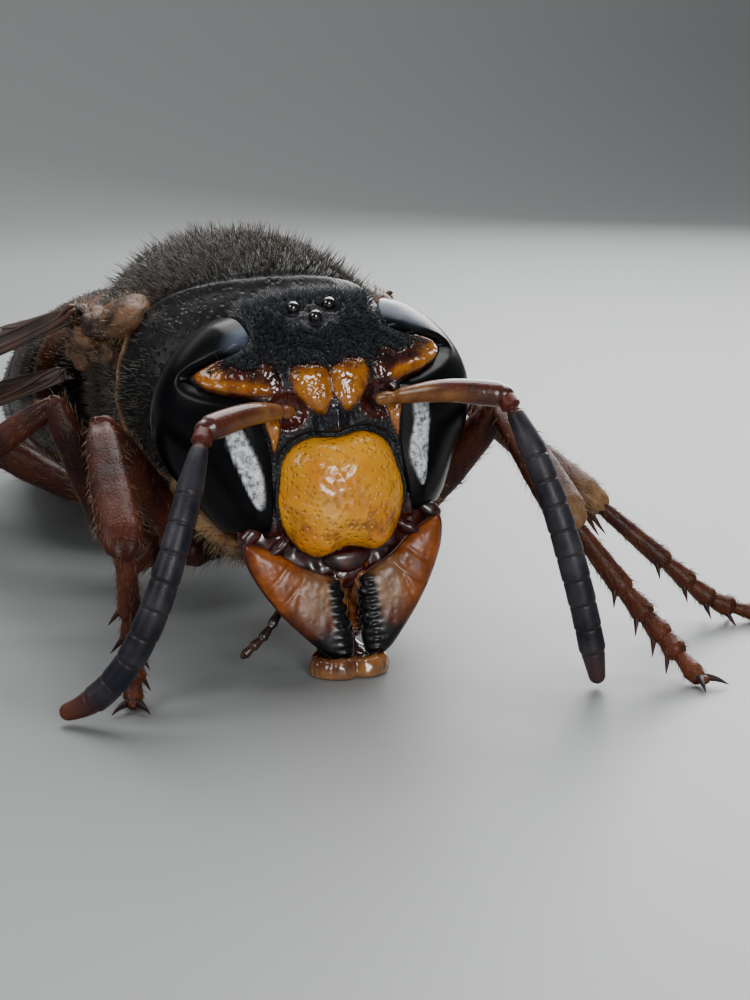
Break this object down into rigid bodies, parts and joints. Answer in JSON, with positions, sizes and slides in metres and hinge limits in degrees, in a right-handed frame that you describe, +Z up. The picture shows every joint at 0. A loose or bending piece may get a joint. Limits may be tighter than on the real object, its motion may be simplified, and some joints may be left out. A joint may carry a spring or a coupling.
{
  "type": "philippine hornet",
  "caption": "Life-size hornet standing on the floor with wings folded back, head low and tongue touching the floor.",
  "frame": {"origin": "on the floor, under the middle of the hornet's outline seen from above", "axes": "+Z up, the hornet faces -Y, its left side is +X"},
  "size_m": [0.0228, 0.0306, 0.0088],
  "materials": {
    "head_shell": "coarsely punctured dark shell with short dark hair",
    "body_shell": "finely punctured dark shell under grey-brown fuzz",
    "eyes": "glossy compound eye surface of fine facets",
    "clypeus": "glossy orange-yellow shell with faint pits",
    "mandibles": "glossy orange shell darkening to black teeth",
    "tongue": "moist orange-brown mouthparts",
    "scapes": "smooth yellow-brown shell",
    "flagella": "dull slate-brown with fine down",
    "legs": "glossy red-brown shell with fine hair",
    "gaster": "satin dark brown plates",
    "wings": "smoky brown membrane with darker veins",
    "tegulae": "translucent orange-brown scale"
  },
  "bodies": {
    "root": {"antenna_left_flagellum": "flagella", "antenna_left_scape": "scapes", "antenna_right_flagellum": "flagella", "antenna_right_scape": "scapes", "clypeus": "clypeus", "eye_left": "eyes", "eye_right": "eyes", "forewing_left": "wings", "forewing_right": "wings", "gaster_1": "gaster", "gaster_2": "gaster", "gaster_3": "gaster", "gaster_4": "gaster", "gaster_5": "gaster", "gaster_6": "gaster", "head": "head_shell", "hindwing_left": "wings", "hindwing_right": "wings", "leg_front_left_coxa": "legs", "leg_front_left_femur": "legs", "leg_front_left_tarsus": "legs", "leg_front_left_tibia": "legs", "leg_front_right_coxa": "legs", "leg_front_right_femur": "legs", "leg_front_right_tarsus": "legs", "leg_front_right_tibia": "legs", "leg_hind_left_coxa": "legs", "leg_hind_left_femur": "legs", "leg_hind_left_tarsus": "legs", "leg_hind_left_tibia": "legs", "leg_hind_right_coxa": "legs", "leg_hind_right_femur": "legs", "leg_hind_right_tarsus": "legs", "leg_hind_right_tibia": "legs", "leg_middle_left_coxa": "legs", "leg_middle_left_femur": "legs", "leg_middle_left_tarsus": "legs", "leg_middle_left_tibia": "legs", "leg_middle_right_coxa": "legs", "leg_middle_right_femur": "legs", "leg_middle_right_tarsus": "legs", "leg_middle_right_tibia": "legs", "mandible_left": "mandibles", "mandible_right": "mandibles", "mesothorax": "body_shell", "petiole": "body_shell", "pronotum": "body_shell", "propodeum": "body_shell", "scutellum": "body_shell", "tegula_left": "tegulae", "tegula_right": "tegulae", "tongue": "tongue"}
  },
  "joints": []
}
